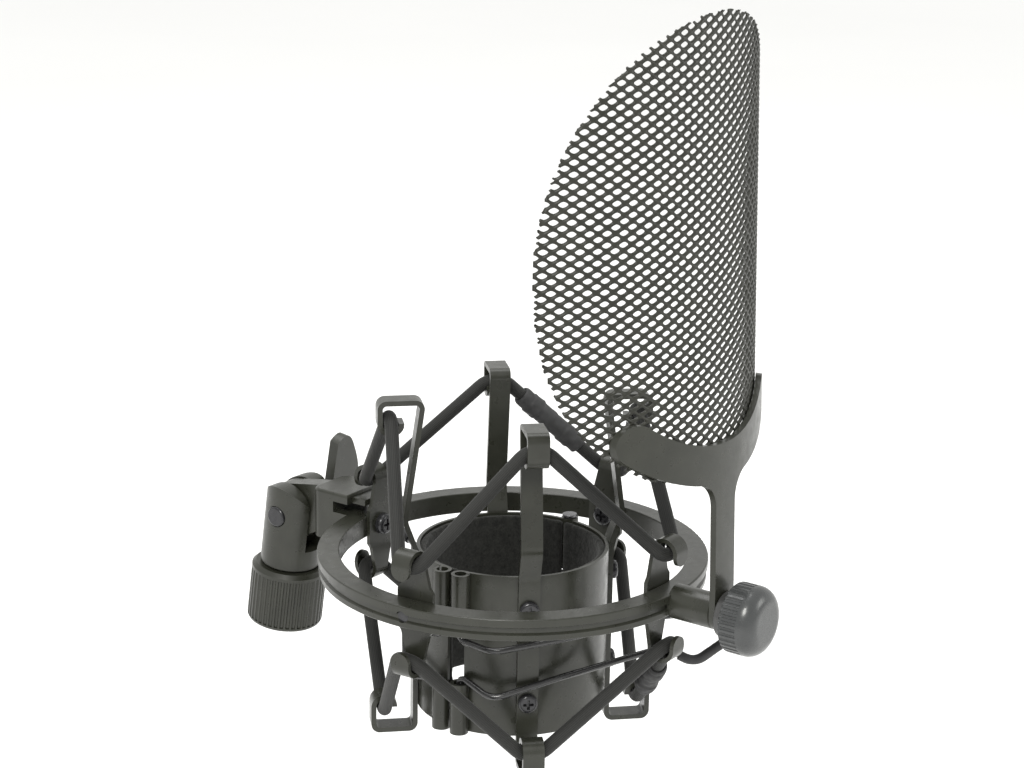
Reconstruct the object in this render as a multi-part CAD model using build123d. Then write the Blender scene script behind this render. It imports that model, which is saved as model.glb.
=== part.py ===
from build123d import *
import os
from math import asin, atan2, cos, degrees, pi, radians, sin, sqrt

# A spider shock mount for a studio microphone with a curved metal-mesh pop filter.
# Millimetres. Origin: the axis of the microphone clamp, level with the middle of the ring.
# +Z points up along the clamp. The pop filter stands at -Y, the stand swivel at +Y,
# the clamp opens at -X and hinges at +X.

# ---------------------------------------------------------------- driving dimensions
# suspension ring
RING_OUTER_R = 57.5
RING_INNER_R = 51.0
RING_HEIGHT = 6.4
GROOVE_DEPTH = 1.1
GROOVE_TOP_Z = 0.9
GROOVE_BOTTOM_Z = -1.5
LOWER_RIM_SET_IN = 0.4
RIM_EDGE = 0.4

# microphone clamp
SHELL_OUTER_R = 28.3
SHELL_SHEET = 1.0
SHELL_TOP_Z = 4.5
SHELL_BOTTOM_Z = -44.2
FELT_BORE_R = 25.5
FELT_TOP_Z = 4.0
FELT_BOTTOM_Z = -43.6
FELT_SPLIT_GAP = 0.5
ROLL_OUTER_R = 2.7
ROLL_BORE_R = 1.7
ROLL_CENTRE_Y = 3.2
ROLL_SEAM = 0.6
WINDOW_TOP_Z = -12.6
WINDOW_BOTTOM_Z = {"front": -28.8, "back": -31.0}
OPEN_EDGE_Y = {"front": 3.5, "back": 2.3}

# clamp hinge
PIN_R = 1.5
KNUCKLE_BORE_R = 1.55
KNUCKLE_OUTER_R = 2.55
KNUCKLE_RELIEF = 0.35
PIN_HEAD_R = 2.3
PIN_HEAD = 0.8
SPRING_WIRE_R = 0.4
SPRING_MEAN_R = 2.1
SPRING_TURNS = 11
SPRING_PITCH = 1.1
SPRING_LEG = 13.0
SPRING_MIDDLE_Z = -20.0

# suspension straps on the clamp
STRAP_WIDTH = 6.2
STRAP_SHEET = 1.5
STRAP_SCREW_Z = (-5.0, -33.3)
STRAP_ANGLES = {"front_strap_left": -135, "front_strap_right": -45,
                "back_strap_left": 135, "back_strap_right": 45}

# brackets on the ring
BRACKET_SHEET = 1.2
BRACKET_SEAT_R = 50.6
BRACKET_HOOK_Z = 14.2
BRACKET_HOOK_R = 3.1
BRACKET_TIP_Z = 10.6
BRACKET_TIP_HALF = 2.9
BRACKET_EAR_HALF = 5.9
BRACKET_EAR_Z = 5.4
BRACKET_ANGLES = {"bracket_filter_side": -90, "bracket_hinge_side": 0,
                  "bracket_stand_side": 90, "bracket_opening_side": 183.5}
STRAP_HOOK_ANGLES = (45, 135, 224.6, 315)
BRACKET_HOOK_ANGLES = (90, 183.5, 270, 360)

# screws
SMALL_SCREW = {"shank_r": 1.5, "head_r": 2.8, "head_h": 1.7, "socket": 3.0}
LARGE_SCREW = {"shank_r": 1.75, "head_r": 3.3, "head_h": 2.2, "socket": 3.6}
SOCKET_SLOT = 0.8
SOCKET_DEPTH = 1.1

# elastic cords
CORD_R = 2.0
CORD_INNER_BENDS = (7.0, 7.2, 5.4, 7.0)
CORD_OUTER_BEND = 5.2
UPPER_INNER_CORNER = (36.2, 46.7)
UPPER_OUTER_CORNER = (57.75, 8.7)
LOWER_INNER_CORNER = (38.2, -48.05)
LOWER_OUTER_CORNER = (57.75, -9.4)
SPLICE_R = 3.0
SPLICE_BORE_R = 2.05

# wire handles
WIRE_R = 0.95
GRIP_R = 1.45
HANDLE_UPPER_Z = -15.6
HANDLE_LOWER_Z = {"front": -26.6, "back": -29.2}
HANDLE_LOWER_BEND_Z = {"front": -30.4, "back": -30.9}
HANDLE_LEG = 8.0

# pop filter
POST_R = 5.0
POST_END = 70.0
ARM_INNER_R = 70.3
ARM_SHEET = 1.8
ARM_HALF_WIDTH = 5.0
ARM_BEND_Z = 8.0
ARM_LEAN = 2.0
FILTER_CENTRE_Z = 99.0
FILTER_HALF_ARC = 60.2
FILTER_UP = 66.5
FILTER_DOWN = 59.5
FILTER_DOWN_POWER = 2.35
FILTER_SHEET = 1.0
CRESCENT_INNER_R = 49.5
CRESCENT_OUTER_R = 60.5
CRESCENT_HALF_ANGLE = 36.5
CRESCENT_NECK = 8.0
STUD_R = 2.5
STUD_CLEARANCE = 0.05
STUD_REACH = 6.5
KNOB_R = 10.0
KNOB_START = 75.6
KNOB_LENGTH = 10.2
KNOB_DOME = 4.6
KNOB_GRIP = 5.6
KNOB_FLUTES = 36
KNOB_FLUTE_R = 0.5

# stand swivel
PIVOT_Y = 84.6
PIVOT_Z = -3.0
STAND_TILT = 8.0
SWIVEL_R = 9.5
SWIVEL_CAP_R = 9.8
SWIVEL_FOOT = -17.9
SLOT_HALF = 3.8
SLOT_FLOOR = -11.0
TONGUE_HALF = 3.2
TONGUE_R = 9.3
PIVOT_WASHER = 0.5
BOLT_R = 2.5
BOLT_HEAD_R = 3.3
SADDLE_HALF = 8.4
SADDLE_OUTER_Y = 71.0
SADDLE_TOP_Z = 9.4
SADDLE_BOTTOM_Z = -6.2
SADDLE_FLANGE = 2.8
COLLAR_R = 12.0
COLLAR_TOP = -18.2
COLLAR_BOTTOM = -38.0
COLLAR_FLUTES = 40
COLLAR_FLUTE_R = 0.65
SPIGOT_R = 6.0
SPIGOT_LENGTH = 7.0
CLIP_TOP = SWIVEL_FOOT - 4.3
CLIP_THICK = 1.0
CLIP_DEPTH = 0.6
CLIP_PROUD = 1.6
CLIP_GAP = 1.5
THREAD_R = 7.94
INSERT_R = 9.4
INSERT_TOP = -27.0
WING_START = 10.4
WING_HUB_R = 5.0
WING_HUB_END = 16.0
WING_END = 28.0
WING_HALF_THICK = 1.7
WING_REACH = 20.3

RUNNING_FIT = 0.05
FACE_GAP = 0.1


# ---------------------------------------------------------------- small helpers
def cylinder_z(radius, low, high, x=0.0, y=0.0):
    """An upright cylinder between two heights."""
    return Pos(x, y, low) * Cylinder(radius, high - low, align=(Align.CENTER, Align.CENTER, Align.MIN))


def cylinder_y(radius, start, end, x=0.0, z=0.0):
    """A cylinder along Y between two places."""
    body = Cylinder(radius, abs(end - start), align=(Align.CENTER, Align.CENTER, Align.MIN))
    return Pos(x, min(start, end), z) * Rot(-90, 0, 0) * body


def cylinder_x(radius, start, end, y=0.0, z=0.0):
    """A cylinder along X between two places."""
    body = Cylinder(radius, abs(end - start), align=(Align.CENTER, Align.CENTER, Align.MIN))
    return Pos(min(start, end), y, z) * Rot(0, 90, 0) * body


def block(x0, x1, y0, y1, z0, z1):
    """A box between two corners."""
    return Pos((x0 + x1) / 2, (y0 + y1) / 2, (z0 + z1) / 2) * Box(x1 - x0, y1 - y0, z1 - z0)


def tube_along(points, radii, radius, closed=False):
    """A round bar along straight runs joined by tangent arcs."""
    path = FilletPolyline(*points, radius=radii, close=closed)
    section = Plane(origin=path @ 0, z_dir=path % 0) * Circle(radius)
    return sweep(section, path=path)


def sheet_strip(points, radii, width, sheet):
    """A bent strip of sheet whose middle line lies in the XZ plane."""
    path = FilletPolyline(*[(x, 0, z) for x, z in points], radius=radii)
    section = Plane(origin=path @ 0, x_dir=(0, 1, 0), z_dir=path % 0) * Rectangle(width, sheet)
    return sweep(section, path=path)


def pan_screw(size, grip):
    """A pan-head screw with a cross socket: the head stands up from z 0, the shank goes down."""
    head = Cylinder(size["head_r"], size["head_h"], align=(Align.CENTER, Align.CENTER, Align.MIN))
    top = head.faces().sort_by(Axis.Z)[-1]
    head = fillet(top.edges(), size["head_h"] * 0.55)
    shank = cylinder_z(size["shank_r"], -grip, 0)
    floor = size["head_h"] - SOCKET_DEPTH
    for turn in (0, 90):
        arm = Box(size["socket"], SOCKET_SLOT, SOCKET_DEPTH, align=(Align.CENTER, Align.CENTER, Align.MIN))
        head -= Pos(0, 0, floor) * Rot(0, 0, turn) * arm
    return head + shank


def fluted(body, radius, low, high, count, flute_r):
    """Cut straight flutes round an upright body."""
    flutes = []
    for index in range(count):
        turn = 2 * pi * index / count
        flutes.append(cylinder_z(flute_r, low, high, radius * cos(turn), radius * sin(turn)))
    return body - flutes


def place_on_swivel(shape):
    """Move a shape from the swivel's own frame (pivot at its origin) to the assembly."""
    return Pos(0, PIVOT_Y, PIVOT_Z) * Rot(STAND_TILT, 0, 0) * shape


# ---------------------------------------------------------------- ring and its brackets
def ring_hoop():
    """The suspension ring: flat top, rolled groove round the outside, four screw holes."""
    half = RING_HEIGHT / 2
    lower_r = RING_OUTER_R - LOWER_RIM_SET_IN
    floor_r = RING_OUTER_R - GROOVE_DEPTH
    section = Polyline(
        (RING_INNER_R, 0, -half), (RING_INNER_R, 0, half), (RING_OUTER_R, 0, half),
        (RING_OUTER_R, 0, GROOVE_TOP_Z), (floor_r, 0, GROOVE_TOP_Z - GROOVE_DEPTH / 2),
        (floor_r, 0, GROOVE_BOTTOM_Z + GROOVE_DEPTH / 2), (lower_r, 0, GROOVE_BOTTOM_Z),
        (lower_r, 0, -half), close=True)
    hoop = revolve(make_face(section), Axis.Z)
    rims = [edge for edge in hoop.edges() if edge.geom_type == GeomType.CIRCLE
            and abs(abs(edge.center().Z) - half) < RIM_EDGE]
    hoop = fillet(rims, RIM_EDGE)
    for angle in BRACKET_ANGLES.values():
        hole = cylinder_x(LARGE_SCREW["shank_r"], RING_INNER_R - 1, RING_OUTER_R + 1)
        hoop -= Rot(0, 0, angle) * hole
    return hoop


def bracket_outline():
    """The leaf shape of a bracket seen from the ring's axis, as a prism along X."""
    low_tip = BRACKET_HOOK_Z + BRACKET_HOOK_R + BRACKET_SHEET + 1
    leaf_half = BRACKET_EAR_HALF - 1.2
    side = [(BRACKET_TIP_HALF, low_tip), (BRACKET_TIP_HALF, BRACKET_HOOK_Z),
            (leaf_half, BRACKET_EAR_Z + 1.6), (BRACKET_EAR_HALF, BRACKET_EAR_Z)]
    right = side + [(y, -z) for y, z in reversed(side)]
    left = [(-y, z) for y, z in reversed(right)]
    face = make_face(Polyline(*[(0, y, z) for y, z in right + left], close=True))
    return extrude(face, RING_OUTER_R * 2, dir=(1, 0, 0))


def bracket(angle):
    """A leaf-shaped bracket whose two ends hook outwards over the cords."""
    plate_r = BRACKET_SEAT_R - BRACKET_SHEET / 2
    bend = BRACKET_HOOK_R + BRACKET_SHEET / 2
    tongue_r = plate_r + 2 * bend
    top = BRACKET_HOOK_Z + bend
    upper = [(plate_r, top), (tongue_r, top), (tongue_r, BRACKET_TIP_Z)]
    lower = [(x, -z) for x, z in reversed(upper)]
    arc = bend - 0.02
    width = 2 * BRACKET_EAR_HALF + 1
    body = sheet_strip(lower + upper, [arc, arc, arc, arc], width, BRACKET_SHEET)
    body &= bracket_outline()
    for side in (1, -1):
        tip = Pos(tongue_r, 0, side * (BRACKET_TIP_Z + BRACKET_TIP_HALF))
        rounding = tip * Rot(0, 90, 0) * Cylinder(BRACKET_TIP_HALF, 2 * BRACKET_SHEET)
        low, high = sorted((side * (BRACKET_TIP_Z - 1), side * (BRACKET_TIP_Z + BRACKET_TIP_HALF)))
        half = BRACKET_TIP_HALF + 1
        corner = block(tongue_r - BRACKET_SHEET, tongue_r + BRACKET_SHEET, -half, half, low, high)
        body -= corner - rounding
    body -= cylinder_x(LARGE_SCREW["shank_r"], RING_INNER_R - 3, RING_INNER_R + 1)
    return Rot(0, 0, angle) * body


def bracket_screws():
    """The four screws that hold the brackets, the post and the saddle to the ring."""
    screws = []
    grips = {"bracket_filter_side": 11.0, "bracket_hinge_side": 7.0,
             "bracket_stand_side": 11.0, "bracket_opening_side": 7.0}
    for name, angle in BRACKET_ANGLES.items():
        screw = pan_screw(LARGE_SCREW, grips[name])
        seated = Pos(BRACKET_SEAT_R - BRACKET_SHEET, 0, 0) * Rot(0, -90, 0) * screw
        screws.append(Rot(0, 0, angle) * seated)
    return screws


# ---------------------------------------------------------------- elastic suspension
def on_circle(radius, angle, height):
    """A point at a radius, an angle in degrees and a height."""
    return (radius * cos(radians(angle)), radius * sin(radians(angle)), height)


def elastic_points(inner, outer):
    """The corners of a closed zigzag cord between the straps and the brackets."""
    points = []
    for index in range(4):
        points.append(on_circle(inner[0], STRAP_HOOK_ANGLES[index], inner[1]))
        points.append(on_circle(outer[0], BRACKET_HOOK_ANGLES[index], outer[1]))
    return points


def elastic(inner, outer):
    """One closed elastic cord, straight between its hooks and bent round each of them."""
    points = elastic_points(inner, outer)
    start = tuple((a + b) / 2 for a, b in zip(points[0], points[-1]))
    route = [start] + points + [start]
    radii = [bend for inner in CORD_INNER_BENDS for bend in (inner, CORD_OUTER_BEND)]
    half_one = route[:6]
    path_one = FilletPolyline(*half_one[:5], midpoint(half_one[4], half_one[5]), radius=radii[:4])
    path_two = FilletPolyline(midpoint(route[4], route[5]), *route[5:], radius=radii[4:])
    halves = []
    for path in (path_one, path_two):
        section = Plane(origin=path @ 0, z_dir=path % 0) * Circle(CORD_R)
        halves.append(sweep(section, path=path))
        print("elastic half", round(path.length, 2), "mm, volume", round(halves[-1].volume, 1),
              "section x length", round(pi * CORD_R ** 2 * path.length, 1))
    return halves[0] + halves[1]


def midpoint(a, b):
    """The point halfway between two points."""
    return tuple((p + q) / 2 for p, q in zip(a, b))


def splice(inner, outer, inner_angle, outer_angle, start, length):
    """A moulded sleeve over the joint of an elastic cord, with a thicker waist at each end."""
    a = Vector(*on_circle(inner[0], inner_angle, inner[1]))
    b = Vector(*on_circle(outer[0], outer_angle, outer[1]))
    along = (b - a).normalized()
    body = cylinder_z(SPLICE_R, 0, length)
    body = chamfer(body.edges().filter_by(GeomType.CIRCLE), 0.5)
    for place in (length * 0.22, length * 0.78):
        body += cylinder_z(SPLICE_R + 0.35, place - 2, place + 2)
    body -= cylinder_z(SPLICE_BORE_R, -1, length + 1)
    return Plane(origin=a + along * start, z_dir=along) * body


# ---------------------------------------------------------------- microphone clamp
ROLL_TURN = degrees(asin(ROLL_CENTRE_Y / (SHELL_OUTER_R - SHELL_SHEET + ROLL_OUTER_R)))
HINGE_X = SHELL_OUTER_R - SHELL_SHEET + KNUCKLE_OUTER_R
ROLL_R = SHELL_OUTER_R - SHELL_SHEET + ROLL_OUTER_R
ROLL_X = -ROLL_R * cos(radians(ROLL_TURN))
KNUCKLES = {"front": ((SHELL_BOTTOM_Z, -36.3), (-11.7, -3.8)), "back": ((-36.0, -28.3), (-3.5, SHELL_TOP_Z))}
HALF_SIGN = {"front": -1, "back": 1}


def sector(inner_r, outer_r, low, high, start, end):
    """Part of an upright tube wall between two angles in degrees."""
    section = make_face(Polyline((inner_r, 0, low), (outer_r, 0, low), (outer_r, 0, high),
                                 (inner_r, 0, high), close=True))
    return Rot(0, 0, start) * revolve(section, Axis.Z, revolution_arc=end - start)


def on_half(half, shape):
    """Place a shape drawn for the back half on the named half of the clamp."""
    return shape if half == "back" else mirror(shape, about=Plane.XZ)


def half_shell(half):
    """Half of the clamp: a sheet with a rolled barrel at its open edge and knuckles on the hinge."""
    bore = SHELL_OUTER_R - SHELL_SHEET
    below = SHELL_BOTTOM_Z - 1
    above = SHELL_TOP_Z + 1
    open_edge = 180 - degrees(asin(OPEN_EDGE_Y[half] / SHELL_OUTER_R))
    shell = sector(bore, SHELL_OUTER_R, SHELL_BOTTOM_Z, SHELL_TOP_Z, 0, open_edge)
    clear = KNUCKLE_OUTER_R + KNUCKLE_RELIEF
    edges = [below] + [z for span in KNUCKLES[half] for z in span] + [above]
    for low, high in zip(edges[0::2], edges[1::2]):
        shell -= block(bore - 3, HINGE_X + 3, -1, clear, low, high)
    for low, high in ((SHELL_BOTTOM_Z, WINDOW_BOTTOM_Z[half]), (WINDOW_TOP_Z, SHELL_TOP_Z)):
        barrel = cylinder_z(ROLL_OUTER_R, low, high, ROLL_X, ROLL_CENTRE_Y)
        slit = block(0, ROLL_OUTER_R + 1, -ROLL_SEAM / 2, ROLL_SEAM / 2, low - 1, high + 1)
        shell += barrel - Pos(ROLL_X, ROLL_CENTRE_Y, 0) * Rot(0, 0, 58) * slit
    shell -= cylinder_z(ROLL_BORE_R, below, above, ROLL_X, ROLL_CENTRE_Y)
    for low, high in KNUCKLES[half]:
        shell += cylinder_z(KNUCKLE_OUTER_R, low, high, HINGE_X)
    shell -= cylinder_z(KNUCKLE_BORE_R, below, above, HINGE_X)
    for angle in (45, 135):
        for z in STRAP_SCREW_Z:
            hole = Pos(0, 0, z) * cylinder_x(SMALL_SCREW["shank_r"], bore - 1, SHELL_OUTER_R + 1)
            shell -= Rot(0, 0, angle) * hole
    return on_half(half, shell)


def felt_liner(half):
    """Half of the felt that lines the clamp, cut away at the window between the barrels."""
    bore = SHELL_OUTER_R - SHELL_SHEET
    liner = sector(FELT_BORE_R, bore, FELT_BOTTOM_Z, FELT_TOP_Z, 0, 180)
    liner -= block(-bore - 1, bore + 1, -1, FELT_SPLIT_GAP, FELT_BOTTOM_Z - 1, FELT_TOP_Z + 1)
    liner -= block(-bore - 1, 0, -1, OPEN_EDGE_Y[half], WINDOW_BOTTOM_Z[half], WINDOW_TOP_Z)
    return on_half(half, liner)


def hinge_pin():
    """The clamp's hinge pin, peened over at both ends."""
    pin = cylinder_z(PIN_R, SHELL_BOTTOM_Z - FACE_GAP * 3, SHELL_TOP_Z + FACE_GAP * 3, HINGE_X)
    for low in (SHELL_BOTTOM_Z - FACE_GAP * 3 - PIN_HEAD, SHELL_TOP_Z + FACE_GAP * 3):
        head = cylinder_z(PIN_HEAD_R, low, low + PIN_HEAD, HINGE_X)
        pin += fillet(head.edges().filter_by(GeomType.CIRCLE), PIN_HEAD * 0.4)
    return pin


def torsion_spring():
    """The spring that closes the clamp: a coil on the pin with a leg on each half shell."""
    rest_r = SHELL_OUTER_R + SPRING_WIRE_R + FACE_GAP
    lean = degrees(atan2(sqrt(HINGE_X ** 2 - (rest_r - SPRING_MEAN_R) ** 2), rest_r - SPRING_MEAN_R))
    sweep_turns = SPRING_TURNS + 2 * lean / 360
    height = SPRING_PITCH * sweep_turns
    low = SPRING_MIDDLE_Z - height / 2
    coil = Helix(pitch=SPRING_PITCH, height=height, radius=SPRING_MEAN_R)
    wire = sweep(Plane(origin=coil @ 0, z_dir=coil % 0) * Circle(SPRING_WIRE_R), path=coil)
    wire = Pos(HINGE_X, 0, low) * Rot(0, 0, -lean) * wire
    for side, z in ((-1, low), (1, low + height)):
        normal = Vector(cos(radians(lean)), side * sin(radians(lean)), 0)
        heading = Vector(-abs(normal.Y), side * normal.X, 0)
        start = Vector(HINGE_X, 0, z) + normal * SPRING_MEAN_R - heading * SPRING_WIRE_R
        leg = Cylinder(SPRING_WIRE_R, SPRING_LEG, align=(Align.CENTER, Align.CENTER, Align.MIN))
        wire += Plane(origin=start, z_dir=heading) * leg
    return wire


def strap(angle):
    """A strap that stands up and down from the clamp and hooks over the two cords."""
    seat = SHELL_OUTER_R + STRAP_SHEET / 2
    curl = 2.95
    points = [(33.3, 43.2), (33.3, 40.2), (39.5, 40.2), (39.5, 49.2), (27.1, 49.2), (32.2, 13.2),
              (seat, 4.6), (seat, -51.7), (41.4, -51.7), (41.4, -41.4), (35.2, -41.4), (35.2, -44.4)]
    radii = [curl - 0.25, curl, 1.9, 1.9, 6.0, 6.0, 1.9, 1.9, curl, curl - 0.25]
    body = sheet_strip(points, radii, STRAP_WIDTH, STRAP_SHEET)
    for z in STRAP_SCREW_Z:
        body -= Pos(0, 0, z) * cylinder_x(SMALL_SCREW["shank_r"], SHELL_OUTER_R - 1, SHELL_OUTER_R + 3)
    return Rot(0, 0, angle) * body


def strap_screws(names):
    """The pan-head screws that hold the named straps to their half shell."""
    screws = []
    for name in names:
        for z in STRAP_SCREW_Z:
            screw = pan_screw(SMALL_SCREW, STRAP_SHEET + SHELL_SHEET)
            seated = Pos(SHELL_OUTER_R + STRAP_SHEET, 0, z) * Rot(0, 90, 0) * screw
            screws.append(Rot(0, 0, STRAP_ANGLES[name]) * seated)
    return screws


def handle_route(half):
    """The corners of a wire handle: its upper arm out from the barrel, and its lower arm."""
    plan = [(ROLL_X, ROLL_CENTRE_Y), (-31.0, 15.5), (-15.4, 28.2), (13.0, 45.0)]
    upper_z = [HANDLE_UPPER_Z, HANDLE_UPPER_Z - 0.4, HANDLE_UPPER_Z + 1.6, HANDLE_UPPER_Z + 4.2]
    lower_z = [HANDLE_LOWER_Z[half], HANDLE_LOWER_BEND_Z[half], -25.6, -21.3]
    side = HALF_SIGN[half]
    upper = [(x, side * y, z) for (x, y), z in zip(plan, upper_z)]
    lower = [(x, side * y, z) for (x, y), z in zip(plan, lower_z)]
    leg_up = (ROLL_X, side * ROLL_CENTRE_Y, HANDLE_UPPER_Z + HANDLE_LEG)
    leg_down = (ROLL_X, side * ROLL_CENTRE_Y, HANDLE_LOWER_Z[half] - HANDLE_LEG)
    return leg_up, upper, lower, leg_down


def handle_loop(half):
    """The corners of the finger loop at the end of a handle."""
    side = HALF_SIGN[half]
    return [(20.6, side * 58.8, -9.9), (23.0, side * 63.0, -16.0), (17.4, side * 53.2, -25.4)]


def wire_handle(half):
    """One bent-wire squeeze handle, its ends up and down inside the barrels."""
    leg_up, upper, lower, leg_down = handle_route(half)
    points = [leg_up] + upper + handle_loop(half) + lower[::-1] + [leg_down]
    radii = [2.0, 6.0, 12.0, 12.0, 3.0, 5.0, 5.0, 5.0, 12.0, 6.0, 2.0]
    return tube_along(points, radii, WIRE_R)


def handle_grip(half):
    """The soft sleeve over a handle's finger loop."""
    leg_up, upper, lower, leg_down = handle_route(half)
    corners = handle_loop(half)
    points = [midpoint(upper[-1], corners[0])] + corners + [midpoint(corners[-1], lower[-1])]
    return tube_along(points, [3.0, 5.0, 5.0], GRIP_R) - wire_handle(half)


# ---------------------------------------------------------------- pop filter
def filter_post():
    """The round post that carries the pop filter, coped over the ring, with its stud hole."""
    post = cylinder_y(POST_R, -(RING_OUTER_R - 1), -POST_END)
    post = chamfer(post.edges().filter_by(GeomType.CIRCLE).sort_by(Axis.Y)[0], 0.4)
    post -= cylinder_y(LARGE_SCREW["shank_r"], -(RING_OUTER_R - 3), -(RING_OUTER_R + 4))
    post -= cylinder_y(STUD_R, -(POST_END - 7), -(POST_END + 1))
    return post - ring_hoop()


def filter_stud():
    """The threaded stud from the post through the arm into the knob."""
    return cylinder_y(STUD_R, -(POST_END - 7), -(KNOB_START + STUD_REACH))


def wrap(radius, arc, height):
    """The XZ place of a point given by its arc length round a cylinder and its height."""
    return (radius * sin(arc / radius), 0, height)


def lean(shape):
    """Tip the upper part of the arm and the mesh towards the microphone, about the arm's bend."""
    bend = Pos(0, -(ARM_INNER_R + ARM_SHEET / 2), ARM_BEND_Z)
    return bend * Rot(-ARM_LEAN, 0, 0) * bend.inverse() * shape


def filter_rim():
    """The cut outline of the mesh, as arc length across and height; fuller at the bottom."""
    count = 40
    rim = []
    for index in range(count):
        turn = 2 * pi * index / count
        power = 2 / FILTER_DOWN_POWER if cos(turn) < -1e-9 else 1
        reach = FILTER_DOWN if cos(turn) < 0 else FILTER_UP
        across = FILTER_HALF_ARC * abs(sin(turn)) ** power * (1 if sin(turn) > 0 else -1)
        up = reach * abs(cos(turn)) ** power * (1 if cos(turn) > 0 else -1)
        rim.append((across, FILTER_CENTRE_Z + up))
    return rim


def filter_sheet():
    """The mesh screen as a plain curved disc, cut round and then rolled about the clamp's axis."""
    mean_r = ARM_INNER_R - FACE_GAP - FILTER_SHEET / 2
    rim = [wrap(mean_r, across, height) for across, height in filter_rim()]
    prism = extrude(make_face(Spline(*rim, periodic=True)), mean_r + FILTER_SHEET, dir=(0, -1, 0))
    low = FILTER_CENTRE_Z - FILTER_UP - 1
    high = FILTER_CENTRE_Z + FILTER_UP + 1
    wall = sector(mean_r - FILTER_SHEET / 2, mean_r + FILTER_SHEET / 2, low, high, 180, 360)
    return lean(wall & prism)


def filter_arm():
    """The pressed arm: an upright strip that opens into a crescent behind the mesh."""
    mid_r = (CRESCENT_INNER_R + CRESCENT_OUTER_R) / 2
    tip_r = (CRESCENT_OUTER_R - CRESCENT_INNER_R) / 2
    half = radians(CRESCENT_HALF_ANGLE)
    centre = Vector(0, FILTER_CENTRE_Z)

    def place(radius, angle):
        return (centre.X + radius * sin(angle), centre.Y - radius * cos(angle))

    outer = ThreePointArc(*[place(CRESCENT_OUTER_R, angle) for angle in (-half, 0, half)])
    inner = ThreePointArc(*[place(CRESCENT_INNER_R, angle) for angle in (-half, 0, half)])
    end = half + tip_r / mid_r
    right = ThreePointArc(place(CRESCENT_OUTER_R, half), place(mid_r, end), place(CRESCENT_INNER_R, half))
    left = ThreePointArc(place(CRESCENT_OUTER_R, -half), place(mid_r, -end), place(CRESCENT_INNER_R, -half))
    crescent = make_face([outer, right, inner, left])
    join = FILTER_CENTRE_Z - mid_r
    strip = Pos(0, join / 2) * Rectangle(2 * ARM_HALF_WIDTH, join)
    outline = crescent + strip + Circle(ARM_HALF_WIDTH)
    neck = [v for v in outline.vertices() if abs(abs(v.X) - ARM_HALF_WIDTH) < 0.01 and v.Y > ARM_HALF_WIDTH]
    outline = fillet(neck, CRESCENT_NECK)
    prism = extrude(Plane(origin=(0, 0, 0), x_dir=(1, 0, 0), z_dir=(0, -1, 0)) * outline, ARM_INNER_R + 10)
    wall = sector(ARM_INNER_R, ARM_INNER_R + ARM_SHEET, -ARM_HALF_WIDTH - 1, FILTER_CENTRE_Z, 180, 360)
    arm = wall & prism
    above = block(-CRESCENT_OUTER_R, CRESCENT_OUTER_R, -ARM_INNER_R - 10, 0, ARM_BEND_Z, FILTER_CENTRE_Z)
    crease_y = -(ARM_INNER_R + ARM_SHEET / 2)
    crease = cylinder_x(ARM_SHEET / 2, -ARM_HALF_WIDTH, ARM_HALF_WIDTH, crease_y, ARM_BEND_Z)
    arm = (arm - above) + lean(arm & above) + (crease & wall)
    return arm - cylinder_y(STUD_R + STUD_CLEARANCE, -(POST_END - 1), -(KNOB_START + 1))


def knob_washer():
    """The friction washer between the arm and the knob."""
    start = ARM_INNER_R + ARM_SHEET + FACE_GAP
    washer = cylinder_y(ARM_HALF_WIDTH + 1.5, -start, -(KNOB_START - FACE_GAP))
    washer = chamfer(washer.edges().filter_by(GeomType.CIRCLE), 0.3)
    return washer - cylinder_y(STUD_R, -(start - 1), -(KNOB_START + 1))


def filter_knob():
    """The fluted clamping knob with a smooth domed end."""
    knob = cylinder_z(KNOB_R, 0, KNOB_LENGTH)
    rims = knob.edges().filter_by(GeomType.CIRCLE).sort_by(Axis.Z)
    knob = fillet(rims[-1], KNOB_DOME)
    knob = fillet(knob.edges().filter_by(GeomType.CIRCLE).sort_by(Axis.Z)[0], 0.8)
    knob = fluted(knob, KNOB_R + 0.1, -1, KNOB_GRIP, KNOB_FLUTES, KNOB_FLUTE_R)
    knob -= cylinder_z(STUD_R + STUD_CLEARANCE, -1, STUD_REACH + 0.5)
    return Pos(0, -KNOB_START, 0) * Rot(90, 0, 0) * knob


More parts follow.
